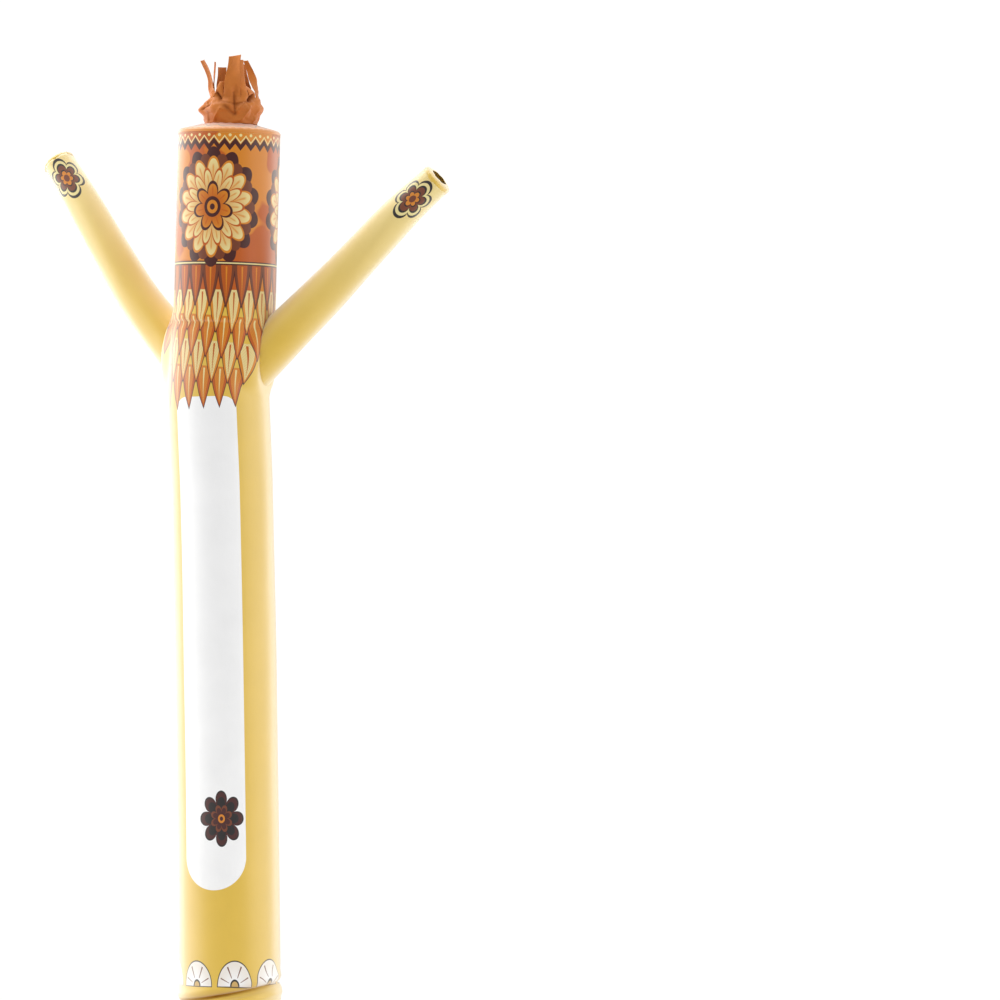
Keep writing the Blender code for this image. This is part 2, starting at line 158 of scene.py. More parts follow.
# The round panels. cut is the radius of the cloth as it was cut, before its rim was eased down over
# the tube, and the puckers end at smooth_from.
RING = "radius height"
CROWN, HAND = table("columns cut smooth_from profile puckers", [
    (144, 0.163, 0.1515, table(RING, [
        (0.0700, 0.0258), (0.0762, 0.0260), (0.0840, 0.0258), (0.1070, 0.0195),
        (0.1320, 0.0135), (0.1480, 0.0080), (0.1522, 0.0025), (0.1518, -0.0030),
    ]), table(PUCKER, [
        (0.0009, 46, 0.0, 2.0, 5, 0.146, 0.010),
        (0.0007, 17, 0.0, 1.5, 3, 0.082, 0.014),
        (0.0015, 5, 0.6, 0.0, 0, 0.115, 0.020),
    ])),
    (72, 0.058, 0.058, table(RING, [
        (0.0270, 0.0126), (0.0360, 0.0115), (0.0455, 0.0080), (0.0487, 0.0025), (0.0483, -0.0030),
    ]), table(PUCKER, [
        (0.0006, 18, 0.0, 0.0, 0, 0.0455, 0.005),
        (0.0005, 7, 0.0, 0.0, 0, 0.0290, 0.006),
    ])),
])

# Where the collar stands out or in. The first row is its even swelling all round.
COLLAR_DENTS = table("angle height turn rise depth", [
    (0, 0.050, math.inf, 0.030, 0.006),
    (-73, 0.044, 22, 0.012, 0.016),
    (-70, 0.074, 26, 0.014, -0.014),
    (-45, 0.062, 11, 0.018, -0.008),
    (-22, 0.036, 13, 0.022, 0.006),
    (2, 0.058, 11, 0.022, -0.003),
    (26, 0.062, 7, 0.026, -0.009),
    (47, 0.050, 14, 0.022, 0.005),
    (76, 0.068, 12, 0.016, -0.003),
    (105, 0.058, 26, 0.026, 0.011),
    (147, 0.046, 17, 0.020, -0.009),
    (180, 0.056, 16, 0.022, 0.007),
    (-145, 0.050, 16, 0.020, -0.009),
    (-110, 0.066, 17, 0.020, -0.008),
])

STRIPS = table("left right rise lean bow sway twist taper", [
    (-79, -43, 0.112, 0.027, -0.010, 0.000, -14, 0.50),
    (-28, -5, 0.046, -0.014, 0.004, 0.008, -25, 0.55),
    (-3, 39, 0.122, -0.004, 0.006, 0.009, 28, 0.75),
    (41, 59, 0.110, -0.014, -0.004, -0.005, -8, 0.90),
    (61, 89, 0.038, -0.032, 0.010, -0.004, -10, 0.70),
    (91, 129, 0.113, -0.031, 0.007, 0.000, 120, 0.22),
    (131, 165, 0.105, -0.020, -0.006, 0.004, -24, 0.40),
    (167, 207, 0.084, -0.006, 0.004, 0.002, 10, 0.80),
    (209, 245, 0.096, -0.018, 0.000, 0.006, -8, 0.80),
    (252, 274, 0.110, -0.012, -0.002, 0.002, -66, 0.20),
])

# Crisp folds of the hair's cloth, from one point to another: ridges above 0 and valleys below it.
HAIR_FOLDS = table("angle height to_angle to_height depth width", [
    (26, 0.028, 23, 0.092, -0.0062, 0.0036),
    (58, 0.050, 36, 0.002, 0.0070, 0.0048),
    (-2, 0.046, -26, 0.002, 0.0070, 0.0048),
    (-8, 0.066, 22, 0.058, -0.0046, 0.0044),
    (30, 0.057, 60, 0.068, -0.0050, 0.0044),
    (-6, 0.044, 30, 0.034, 0.0040, 0.0048),
    (44, 0.060, 28, 0.036, 0.0062, 0.0036),
    (4, 0.050, 22, 0.028, -0.0058, 0.0060),
    (60, 0.070, 80, 0.086, -0.0160, 0.0062),
    (-52, 0.066, -20, 0.096, 0.0093, 0.0040),
    (-60, 0.046, -30, 0.060, -0.0093, 0.0040),
    (-23, 0.096, -9, 0.074, -0.0120, 0.0052),
    (-40, 0.034, -44, 0.004, -0.0054, 0.0040),
    (84, 0.040, 70, 0.004, 0.0062, 0.0040),
    (125, 0.070, 160, 0.030, 0.0078, 0.0048),
    (150, 0.072, 215, 0.052, -0.0093, 0.0048),
    (190, 0.040, 176, 0.004, 0.0070, 0.0048),
    (240, 0.070, 226, 0.010, -0.0093, 0.0048),
    (262, 0.052, 250, 0.004, 0.0070, 0.0040),
])
FOLD_FOOT = 0.012
FACET_LAYERS = table("cells height depth seed", [
    (17, 0.023, 0.0064, 5),
    (41, 0.011, 0.0013, 8),
])
FACET_ROWS = 64
FACET_WANDER = 0.45

# How finely the cloth is cut.
TRUNK_COLUMNS = 144
TRUNK_STRETCHES = table("start rows", [
    (0.000, 30), (0.150, 110), (0.330, 60), (2.020, 90), (2.320, 36), (2.740, 18),
])
ARM_COLUMNS = 72
ARM_ROWS = 150
ARM_CROWDING = 1.25  # above 1, the rows are closer together at the root
PANEL_STEPS = 4
STRIP_COLUMNS = 18
STRIP_ROWS = 40
COLLAR_ROWS = 44


def base_point():
    """The middle of the trunk's bottom ring, where the frame's own axes are rooted."""
    points = np.array([vert.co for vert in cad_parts["trunk_tube"].data.vertices])
    ring = points[points[:, 2] < points[:, 2].min() + 0.001, :2]
    return np.append((ring.min(0) + ring.max(0)) / 2, 0.0)


BASE = base_point()


# Curves and shapes, all on numpy arrays.


def smooth_at(points, place):
    """The height and the slope, at each place, of a smooth curve through (place, value) points."""
    places, values = np.array(points, float).T
    last = len(places) - 1
    around = np.clip(np.arange(last + 1) + [[-1], [1]], 0, last)
    slopes = np.diff(values[around], axis=0)[0] / np.diff(places[around], axis=0)[0]
    place = np.asarray(place, float)
    held = np.clip(place, places[0], places[last])
    index = np.clip(np.searchsorted(places, place, side="right") - 1, 0, last - 1)
    span = places[index + 1] - places[index]
    t = (held - places[index]) / span
    rise = values[index + 1] - values[index]
    start, end = slopes[index] * span, slopes[index + 1] * span
    square, cube = 3 * rise - 2 * start - end, start + end - 2 * rise
    value = values[index] + t * (start + t * (square + t * cube))
    slope = (start + t * (2 * square + 3 * t * cube)) / span
    return value + slope * (place - held), slope


def bump(distance, width):
    """1 at no distance, falling smoothly to about a third at one width."""
    return np.exp(-((distance / width) ** 2))


def ramp(t):
    """A smooth step from 0 at t = 0 to 1 at t = 1."""
    t = np.clip(t, 0.0, 1.0)
    return t * t * (3 - 2 * t)


def turn_between(angle, other):
    return (angle - other + 180) % 360 - 180


def outward(angle):
    """The level direction that points outward at an angle round the trunk."""
    angle = np.radians(angle)
    return np.stack([np.sin(angle), -np.cos(angle), np.zeros_like(angle)], -1)


def xz(x, z):
    """The vectors that go x to the right and z up."""
    return np.stack(np.broadcast_arrays(x, 0.0, z), -1)


def unit(vectors):
    return vectors / np.linalg.norm(vectors, axis=-1, keepdims=True)


def steps_along(lines):
    """The length of each step along a line of points, or along many side by side."""
    return np.linalg.norm(np.diff(lines, axis=0), axis=-1)


def left_to_go(lines):
    """The length that is still ahead at each point of a line, or of many side by side."""
    steps = steps_along(lines)
    return np.concatenate([np.cumsum(steps[::-1], 0)[::-1], np.zeros((1,) + steps.shape[1:])])


def ripple(angle, height, waves):
    """An even, repeatable unevenness, seamless round the trunk."""
    rng = np.random.default_rng(waves.seed)
    total = np.zeros(np.broadcast(angle, height).shape)
    for _ in range(7):
        turns = rng.integers(1, 7)
        rate = rng.uniform(0.5, 1.0) * math.tau / waves.length
        start = rng.uniform(0, math.tau)
        lean = rng.choice([-1, 1])
        total = total + np.sin(turns * np.radians(angle) + lean * rate * height + start)
    return waves.depth * total / 4


def puckered(puckers, angle, place):
    """How far puckered cloth stands out, at an angle round the seam and a place away from it."""
    turn = np.radians(angle)
    total = 0
    for row in puckers:
        wave = np.cos(row.count * turn + row.start + row.wobble * np.sin(row.wobbles * turn))
        total = total + row.depth * wave * bump(place - row.place, row.width)
    return total


# The trunk.


def crease_depth(creases, angle, height):
    depth = 0
    for crease in creases:
        line = crease.height + crease.tilt * np.sin(np.radians(angle - FOLD_TURN))
        fade = bump(turn_between(angle, crease.middle), crease.spread)
        depth = depth + crease.depth * fade * bump(height - line, crease.width)
    return depth


def drawn_to_arm(offset, height, arm):
    """The trunk's cloth drawn out to an arm's flat seam, and how far it is outside the arm's mouth."""
    out = outward(arm.azimuth)
    reach = offset @ out
    aside = offset @ outward(arm.azimuth + 90)
    rise = math.radians(ARM_ROOT_RISE)
    across = (height - ARM_MOUTH_HEIGHT) * math.cos(rise) - (reach - ARM_MOUTH_REACH) * math.sin(rise)
    from_arm = np.hypot(across, aside) - ARM_MOUTH_RADIUS
    near = (reach >= 0) & (reach <= arm.seam_reach)
    pull = np.where(near, (arm.seam_reach - reach) * ramp(1 - from_arm / ARM_PULL), 0)
    return offset + out * pull[..., None], np.where(near, from_arm, 1.0)


def trunk_surface(angle, height):
    """The cloth's outer face, and how far each point is outside the nearest arm's mouth."""
    drift, lean = smooth_at(TRUNK_LINE, height)
    level = ramp(height / HEM_RISE)
    depth = crease_depth(TRUNK_CREASES + FINE_CREASES, angle, height)
    depth = depth + ripple(angle, height, TRUNK_WAVES) * level
    depth = depth + CLOTH * ramp((HEM_HEIGHT - height) / HEM_EDGE)
    offset = outward(angle) * (TRUNK_RADIUS + depth)[..., None]
    from_arm = np.full(height.shape, 1.0)
    for arm in ARMS:
        offset, distance = drawn_to_arm(offset, height, arm)
        from_arm = np.minimum(from_arm, distance)
    sink = crease_depth(FOOT_SAG, angle, height) + lean * offset[..., 0] * level
    return BASE + xz(drift, height - sink) + offset, from_arm


# The arms.


def arm_frames(arm, reach):
    """Points of the arm's centre line at each reach, with its heading and the way above it."""
    drop = (ARM_MOUTH_REACH - ARM_START) * math.tan(math.radians(ARM_ROOT_RISE))
    height, slope = smooth_at([(ARM_START, ARM_MOUTH_HEIGHT - drop)] + arm.path, reach)
    drift, _ = smooth_at(TRUNK_LINE, ARM_MOUTH_HEIGHT)
    out, aside = outward(arm.azimuth), outward(arm.azimuth + 90)
    centre = BASE + xz(drift, height) + np.asarray(reach)[..., None] * out
    heading = unit(out + xz(0.0, slope))
    return centre, heading, -np.cross(np.broadcast_to(aside, heading.shape), heading)


def arm_surface(arm, turn, reach, grown=0.0):
    """A point of the arm's outer face: turn goes round it from the side, 90 degrees is above."""
    centre, _, above = arm_frames(arm, reach)
    run = arm.path[-1].reach - ARM_MOUTH_REACH
    taper = np.maximum((reach - ARM_MOUTH_REACH) / run, 0)
    radius = ARM_MOUTH_RADIUS + (ARM_TIP_RADIUS - ARM_MOUTH_RADIUS) * taper + grown
    turn = np.radians(turn)
    way = np.cos(turn)[..., None] * outward(arm.azimuth + 90) + np.sin(turn)[..., None] * above
    return centre + radius[..., None] * way


def arm_root(arm, turn):
    """How far out each line along the arm meets the flat seam on the trunk, found by halving."""
    low, high = np.full(turn.shape, 0.06), np.full(turn.shape, 0.30)
    for _ in range(40):
        middle = (low + high) / 2
        point = arm_surface(arm, turn, middle)
        drift, _ = smooth_at(TRUNK_LINE, point[..., 2])
        from_axis = point - BASE - xz(drift, point[..., 2])
        inside = from_axis @ outward(arm.azimuth) < arm.seam_reach
        low, high = np.where(inside, middle, low), np.where(inside, high, middle)
    return (low + high) / 2


# Meshes.


def add_object(name, data):
    obj = bpy.data.objects.new(name, data)
    bpy.context.scene.collection.objects.link(obj)
    return obj


def add_mesh(name, points, faces):
    mesh = bpy.data.meshes.new(name)
    mesh.from_pydata(points, [], faces)
    return add_object(name, mesh)


def grid_mesh(name, points, across, along, closed=True, kept=None, thickness=CLOTH):
    """A sheet of quads through points[row, column], with its flat place on the cloth as a UV map.

    across and along are the flat place in metres of each point; a closed sheet has one more column
    of them than of points, and kept says which quads are left in.
    """
    rows, columns = points.shape[:2]
    row, column = np.indices((rows - 1, columns if closed else columns - 1))
    if kept is not None:
        row, column = row[kept], column[kept]
    up = np.stack([row, row, row + 1, row + 1], -1).reshape(-1, 4)
    side = np.stack([column, column + 1, column + 1, column], -1).reshape(-1, 4)
    used, faces = np.unique(up * columns + side % columns, return_inverse=True)
    piece = add_mesh(name, points.reshape(-1, 3)[used].tolist(), faces.reshape(-1, 4).tolist())
    mesh = piece.data
    layer = mesh.uv_layers.new(name="cloth")
    layer.data.foreach_set("uv", np.stack([across[up, side], along[up, side]], -1).ravel())
    mesh.shade_smooth()
    solid = piece.modifiers.new("cloth", "SOLIDIFY")
    solid.thickness = thickness
    solid.offset = -1
    return piece


def flat_places(angles, radius, along):
    """Each point's place on a tube's flat cloth, with the first column again after the last."""
    across = np.radians(np.append(angles, angles[0] + 360)) * radius
    along = np.concatenate([along, along[:, :1]], 1)
    return np.broadcast_to(across, along.shape), along


def dress(piece, material, slot, *nodes):
    piece.data.materials.append(material)
    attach(piece, "root")
    if nodes:
        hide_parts(*nodes)


def trunk_skin(material):
    stops = [stretch.start for stretch in TRUNK_STRETCHES[1:]] + [TRUNK_TOP]
    heights = [TRUNK_TOP]
    for (start, rows), stop in zip(reversed(TRUNK_STRETCHES), reversed(stops)):
        heights = [*np.linspace(start, stop, rows, endpoint=False), *heights]
    angles = np.arange(TRUNK_COLUMNS) * 360 / TRUNK_COLUMNS - 180
    height, angle = np.meshgrid(heights, angles, indexing="ij")
    points, from_arm = trunk_surface(angle, height)
    inside = from_arm < -HOLE_MARGIN
    gone = inside & np.roll(inside, -1, 1)
    gone = gone[:-1] & gone[1:]
    piece = grid_mesh("trunk_skin", points, *flat_places(angles, TRUNK_RADIUS, height), kept=~gone)
    dress(piece, material, "trunk_cloth", "trunk_tube")


def arm_skin(arm, material):
    turns = np.arange(ARM_COLUMNS) * 360 / ARM_COLUMNS
    root, tip = arm_root(arm, turns), arm.path[-1].reach
    share = np.linspace(0, 1, ARM_ROWS + 1)[:, None] ** ARM_CROWDING
    reach = root + (tip - root) * share
    turn = np.broadcast_to(turns, reach.shape)
    from_root, to_tip = ARM_STEEP * (reach - root), ARM_STEEP * (tip - reach)
    grown = puckered(ROOT_PUCKERS, turn, from_root) * ramp(from_root / ROOT_EDGE)
    grown = grown - ROOT_TUCK * bump(from_root, ROOT_TUCK_WIDTH)
    grown = grown + ripple(turn, from_root, ARM_WAVES) * ramp(from_root / ARM_WAVES_START)
    grown = grown + puckered(TIP_PUCKERS, turn, to_tip) * ramp(to_tip / TIP_EDGE)
    points = arm_surface(arm, turn, reach, grown)
    to_hand = left_to_go(arm_surface(arm, turn, reach))
    across, along = flat_places(turns, ARM_MIDDLE_RADIUS, to_hand)
    piece = grid_mesh(f"arm_skin_{arm.name}", points[:, ::-1], across[:, ::-1], along[:, ::-1])
    dress(piece, material, f"arm_cloth_{arm.name}", f"arm_{arm.name}")


def round_panel(names, material, panel, centre, side, heading):
    """A domed panel turned from its profile, with puckers along its axis.

    names are the piece's, its slot's, which is not used, and that of the node it replaces.
    """
    last = len(panel.profile) - 1
    at = np.arange(last * PANEL_STEPS + 1) / PANEL_STEPS
    radii, heights = (np.interp(at, np.arange(last + 1), column) for column in zip(*panel.profile))
    radius, angle = np.meshgrid(radii, np.arange(panel.columns) * 360 / panel.columns, indexing="ij")
    rise = puckered(panel.puckers, angle, radius) * ramp((panel.smooth_from - radius) / RIM_EDGE)
    rise = rise + heights[:, None]
    turn = np.radians(angle)[..., None]
    way = np.cos(turn) * side + np.sin(turn) * np.cross(heading, side)
    points = centre + radius[..., None] * way + rise[..., None] * heading
    wide = np.concatenate([radius, radius[:, :1]], 1)
    whole = np.radians(np.concatenate([angle, angle[:, :1] + 360], 1))
    piece = grid_mesh(names[0], points, wide * np.cos(whole), wide * np.sin(whole))
    dress(piece, material, *names[1:])


def crown_skin(material):
    drift, lean = smooth_at(TRUNK_LINE, TRUNK_TOP)
    heading = unit(xz(lean, 1.0))
    front = outward(0.0)
    side = unit(front - heading * (front @ heading))
    names = ("crown_skin", "crown_cloth", "crown_panel")
    round_panel(names, material, CROWN, BASE + xz(drift, TRUNK_TOP), side, heading)


def hand_skin(arm, material):
    centre, heading, _ = arm_frames(arm, arm.path[-1].reach)
    names = [f"hand_{kind}_{arm.name}" for kind in ("skin", "cloth", "panel")]
    round_panel(names, material, HAND, centre, outward(arm.azimuth + 90), heading)


def seam_tape(name, edges, middle, along, material, slot):
    """The flat-felled seam where a tube's cloth closes: a narrow strip between two lines of points.

    middle and along are its place on the cloth that it closes, so that the print runs over it.
    """
    left, right = edges
    points = np.stack([left, (left + right) / 2, right], 1)
    across = np.broadcast_to(middle + np.array([-0.5, 0, 0.5]) * SEAM_WIDTH, (len(left), 3))
    along = np.broadcast_to(along[:, None], across.shape)
    piece = grid_mesh(name, points, across, along, closed=False, thickness=SEAM_CLOTH)
    dress(piece, material, slot)


def seams(trunk_material, arm_materials, thread):
    """The trunk's seam down the back and each arm's along the side away from the front."""
    heights = np.linspace(HEM_HEIGHT, TRUNK_TOP - SEAM_END, SEAM_ROWS)
    half = math.degrees(SEAM_WIDTH / 2 / TRUNK_RADIUS)

    def trunk_line(aside):
        return trunk_surface(BACK + aside, heights)[0] + outward(BACK + aside) * SEAM_LIFT

    edges, middle = [trunk_line(aside) for aside in (-half, half)], math.radians(BACK) * TRUNK_RADIUS
    seam_tape("trunk_seam", edges, middle, heights, trunk_material, "trunk_cloth")
    for side, share in (("left", -SEAM_THREADS), ("right", SEAM_THREADS)):
        line = trunk_line(half * share)
        out = np.broadcast_to(outward(BACK), line.shape)
        thread_along(f"trunk_seam_thread_{side}", line, out, thread, "trunk_cloth")
    half = math.degrees(SEAM_WIDTH / 2 / ARM_MIDDLE_RADIUS)
    for arm, material in zip(ARMS, arm_materials):
        slot = f"arm_cloth_{arm.name}"
        root = arm_root(arm, np.array([arm.seam_turn]))[0]
        reach = np.linspace(root + ARM_SEAM_START, arm.path[-1].reach - ARM_SEAM_END, ARM_SEAM_ROWS)
        lines = [arm_surface(arm, arm.seam_turn + aside, reach, SEAM_LIFT) for aside in (half, 0, -half)]
        middle = math.radians(arm.seam_turn) * ARM_MIDDLE_RADIUS
        seam_tape(f"arm_seam_{arm.name}", lines[::2], middle, left_to_go(lines[0]), material, slot)
        out = lines[1] - arm_frames(arm, reach)[0]
        thread_along(f"arm_seam_thread_{arm.name}", lines[1], out, thread, slot)


# The hair.


def hair_point(angle, height):
    drift, _ = smooth_at(TRUNK_LINE, HAIR_BASE)
    level = np.minimum(height, COLLAR_BELLY)
    depth = 0
    for dent in COLLAR_DENTS:
        fade = bump(turn_between(angle, dent.angle), dent.turn) * bump(level - dent.height, dent.rise)
        depth = depth + dent.depth * fade
    radius = HAIR_RADIUS + depth * ramp(height / COLLAR_FOOT) - COLLAR_DRAW * (height - level)
    return BASE + xz(drift + HAIR_SHIFT, HAIR_BASE + height) + outward(angle) * radius[..., None]


def facets(angle, height, layer):
    """Flat facets with crisp edges between them: random depths on a slanting lattice of triangles."""
    turn = np.radians(angle)
    u = angle / 360 * layer.cells + FACET_WANDER * np.sin(3 * turn + 60 * height)
    v = height / layer.height + FACET_WANDER * np.sin(2 * turn + layer.seed) + 3
    column, row = np.floor(u).astype(int), np.floor(v).astype(int)
    across, up = u - column, v - row
    depths = np.random.default_rng(layer.seed).uniform(-1, 1, (FACET_ROWS, layer.cells))

    def corner(right, higher):
        return depths[(row + higher) % FACET_ROWS, (column + right) % layer.cells]

    mirrored = (column + row) % 2  # every other cell's fold runs the other way
    across = np.where(mirrored, 1 - across, across)
    a, b = corner(mirrored, 0), corner(1 - mirrored, 0)
    c, d = corner(mirrored, 1), corner(1 - mirrored, 1)
    below = a + (b - a) * across + (d - b) * up
    above = a + (d - c) * across + (c - a) * up
    return layer.depth * np.where(across >= up, below, above)


def crumple(angle, height):
    """How far the hair's crumpled cloth stands out: facets, and the main folds over them."""
    total = sum(facets(angle, height, layer) for layer in FACET_LAYERS)
    for fold in HAIR_FOLDS:
        turn = math.radians(turn_between(fold.to_angle, fold.angle))
        run = np.array([turn * HAIR_RADIUS, fold.to_height - fold.height])
        x = np.radians(turn_between(angle, fold.angle)) * HAIR_RADIUS
        y = height - fold.height
        share = np.clip((x * run[0] + y * run[1]) / (run @ run), 0, 1)
        distance = np.hypot(x - share * run[0], y - share * run[1])
        total = total + fold.depth * np.exp(-distance / fold.width)
    return total


def strip_surface(index, share, t):
    """Points of one strip, share -1 to 1 across it and t from 0 at its root to 1 at its ragged tip."""
    strip = STRIPS[index]
    rng = np.random.default_rng(40 + index)
    left, right = hair_point(np.array([strip.left, strip.right], float), np.full(2, COLLAR_HEIGHT))
    across, middle = (right - left) / 2, (left + right) / 2
    bearing = (strip.left + strip.right) / 2
    out, aside = outward(bearing), outward(bearing + 90)
    ragged = rng.uniform(-0.03, 0.03) * share
    t = t * (1 + ragged * ramp(t * 2 - 1))
    centre = middle + out * (strip.bow * np.sin(np.pi * t) + strip.lean * t)[..., None]
    centre = centre + aside * (strip.sway * t**1.5)[..., None]
    centre[..., 2] += strip.rise * t
    turn = np.radians(strip.twist) * ramp(t)
    width = np.linalg.norm(across)
    turned = across * np.cos(turn)[..., None] + out * (width * np.sin(turn))[..., None]
    curl = rng.uniform(0.10, 0.30) * width * (1 - share**2) * rng.choice([-1, 1]) * ramp(t * 3)
    waver = 0.05 * np.sin(9 * t + rng.uniform(0, 6)) * ramp(t * 4)
    spread = share * (1 + (strip.taper - 1) * t + waver)
    flat = centre + turned * spread[..., None] + out * curl[..., None]
    angle = bearing + (strip.right - strip.left) / 2 * share
    root = hair_point(angle, np.full(angle.shape, COLLAR_HEIGHT))
    parted = root + flat - (middle + across * share[..., None])
    blend = ramp(t * 2.5)[..., None]
    fold = crumple(angle, COLLAR_HEIGHT + strip.rise * t) * (1 - 0.9 * ramp(t * 2.0 - 0.2))
    return parted * (1 - blend) + flat * blend + out * fold[..., None]


def hair_tube(material):
    """The hair's tube of cloth: a crumpled uncut part and, above it, the strips cut from it."""
    share = 2 * np.arange(STRIP_COLUMNS + 1) / STRIP_COLUMNS - 1
    t, side = np.meshgrid(np.linspace(0, 1, STRIP_ROWS + 1)[1:], share, indexing="ij")
    angles, upper, rise = [], [], []
    flat_area = HAIR_ROUND * COLLAR_HEIGHT
    for index, strip in enumerate(STRIPS):
        half = (strip.right - strip.left) / 2
        angles.append(strip.left + half * (1 + share))
        upper.append(strip_surface(index, side, t))
        rise.append(COLLAR_HEIGHT + strip.rise * t)
        flat_area += math.radians(half) * HAIR_RADIUS * strip.rise * (1 + strip.taper)
    angles = np.concatenate(angles)
    height, angle = np.meshgrid(np.linspace(0, COLLAR_HEIGHT, COLLAR_ROWS + 1), angles, indexing="ij")
    fold = crumple(angle, height) * ramp(height / FOLD_FOOT)
    collar = hair_point(angle, height) + outward(angle) * fold[..., None]
    points = np.concatenate([collar, np.concatenate(upper, 1)])
    # The slit after each strip.
    kept = np.ones((len(points) - 1, len(angles)), bool)
    kept[COLLAR_ROWS:, STRIP_COLUMNS :: STRIP_COLUMNS + 1] = False
    places = flat_places(angles, HAIR_RADIUS, np.concatenate([height, np.concatenate(rise, 1)]))
    piece = grid_mesh("hair_tube", points, *places, kept=kept, thickness=HAIR_CLOTH)
    dress(piece, material, "collar_cloth", "hair_collar", "hair_strips")


# Materials.

SHEEN_SPREAD = 0.7
SHEEN_TINT = (1.0, 0.97, 0.90, 1.0)
CLOTH_GLOSS = 1.58  # index of refraction of its glazed face
ARM_GLOSS = 1.55
HAIR_GLOSS = 1.33
COLOUR_WEAR = 0.10
ROUGHNESS_WEAR = 0.12
WEAVE_PITCH = 0.0052
WEAVE_LINE = 0.055
FINE_WEAVE = 5200
WEAVE_RELIEF = 0.00004
WRINKLE_RELIEF = 0.0012

YELLOW = (0.740, 0.488, 0.062, 1.0)
PALE = (0.850, 0.690, 0.300, 1.0)
ORANGE = (0.505, 0.098, 0.003, 1.0)
AMBER = (0.670, 0.225, 0.012, 1.0)
MAROON = (0.060, 0.009, 0.007, 1.0)
BROWN = (0.170, 0.040, 0.012, 1.0)
CREAM = (0.800, 0.680, 0.300, 1.0)
INK = (0.012, 0.008, 0.008, 1.0)
TAN = (0.620, 0.400, 0.130, 1.0)
OCHRE = (0.360, 0.165, 0.020, 1.0)
RUST = (0.580, 0.178, 0.028, 1.0)
WHITE = (0.925, 0.925, 0.925, 1.0)

# The print, in metres on the flat cloth.
PANEL_LOW = 0.565
PANEL_HIGH = 2.024
PANEL_HALF = 0.0985
PANEL_CORNER = 0.04
HEAD_LOW = 2.34
LEAF_WIDTH = 0.0478
LEAF_LENGTH = 0.128
LEAF_ROWS = table("top cells shift body heart vein", [
    (2.115, 5, 1, ORANGE, AMBER, CREAM),
    (2.190, 6, 0, AMBER, CREAM, ORANGE),
    (2.265, 9, 1, ORANGE, AMBER, CREAM),
    (2.340, 40, 0, AMBER, CREAM, ORANGE),
    (2.415, 40, 1, BROWN, ORANGE, AMBER),
])
ROSETTE_SIZE = 0.126
ROSETTE_HEIGHT = 2.585
ROSETTE_STRETCH = 1.22
TEETH = 30
TOOTH_HEIGHT = 0.040
ZIGZAG_HEIGHT = 2.752
DOTS_HEIGHT = 2.798
DOT_RADIUS = 0.0045
FLOWER_SIZE = 0.064
FLOWER_ASIDE = 0.026
FLOWER_HEIGHT = 0.776
FLOWER_STRETCH = 1.25
ARM_FLOWER_FROM_HAND = 0.080
SHELLS = 8
SHELL_HEIGHT = 0.282
SHELL_STRETCH = 1.45
# Where the painted shade in the fold at the foot lies.
FOOT_SHADE_HEIGHT = 0.2610
FOOT_SHADE_TILT = 0.026

# Flowers, as rings of petals from the outermost in, and the dots of their hearts.
BETWEEN = math.pi / 2  # turns a ring by half a petal
PETALS = "count inner outer shift sharp colour shade"
ROSETTE = table(PETALS, [
    (14, 0.86, 1.16, 0, 0.6, MAROON),
    (14, 0.74, 1.04, BETWEEN, 0.6, BROWN),
    (14, 0.66, 0.98, 0, 0.6, AMBER),
    (14, 0.60, 0.93, 0, 0.7, CREAM, AMBER),
    (14, 0.44, 0.77, BETWEEN, 0.7, ORANGE),
    (14, 0.38, 0.715, BETWEEN, 0.8, CREAM, AMBER),
    (7, 0.30, 0.50, 0, 0.8, MAROON),
    (7, 0.24, 0.44, 0, 0.8, AMBER, ORANGE),
])
ROSETTE_HEART = ((0.20, MAROON), (0.13, AMBER), (0.06, MAROON))
DARK_FLOWER = table(PETALS, [
    (8, 0.62, 1.04, 0, 0.55, INK),
    (8, 0.57, 0.98, 0, 0.55, MAROON),
    (8, 0.40, 0.80, 0, 0.55, INK),
    (8, 0.30, 0.52, BETWEEN, 0.55, BROWN),
    (8, 0.22, 0.42, BETWEEN, 0.55, MAROON),
])
DARK_HEART = ((0.16, AMBER), (0.08, MAROON))
ARM_FLOWER = table(PETALS, [
    (6, 0.0400, 0.0600, 0, 0.6, INK),
    (6, 0.0360, 0.0520, 0, 0.6, CREAM),
    (6, 0.0240, 0.0440, 0, 0.6, INK),
    (6, 0.0215, 0.0380, 0, 0.6, BROWN),
    (6, 0.0130, 0.0250, 0, 0.6, INK),
    (6, 0.0105, 0.0210, 0, 0.6, AMBER),
])
ARM_HEART = ((0.010, BROWN),)


def feed(slot, value):
    """Give a node's input a plain value, or link a field or another node's output to it."""
    if isinstance(value, Field):
        value = value.socket
    if isinstance(value, bpy.types.NodeSocket):
        slot.id_data.links.new(value, slot)
    else:
        slot.default_value = value


def feed_all(node, inputs):
    for name, value in inputs.items():
        feed(node.inputs[name], value)
    return node


def new_node(tree, kind, inputs):
    return feed_all(tree.nodes.new("ShaderNode" + kind), inputs)


def mixed(tree, share, first, second, blend="MIX"):
    """The colour that blends two others by a share."""
    node = tree.nodes.new("ShaderNodeMix")
    node.data_type = "RGBA"
    node.blend_type = blend
    for slot, value in ((0, share), (6, first), (7, second)):
        feed(node.inputs[slot], value)
    return node.outputs[2]


def new_material(name):
    """A new material, with its nodes and its shader."""
    material = bpy.data.materials.new(name)
    material.use_nodes = True
    return material, material.node_tree, material.node_tree.nodes["Principled BSDF"]


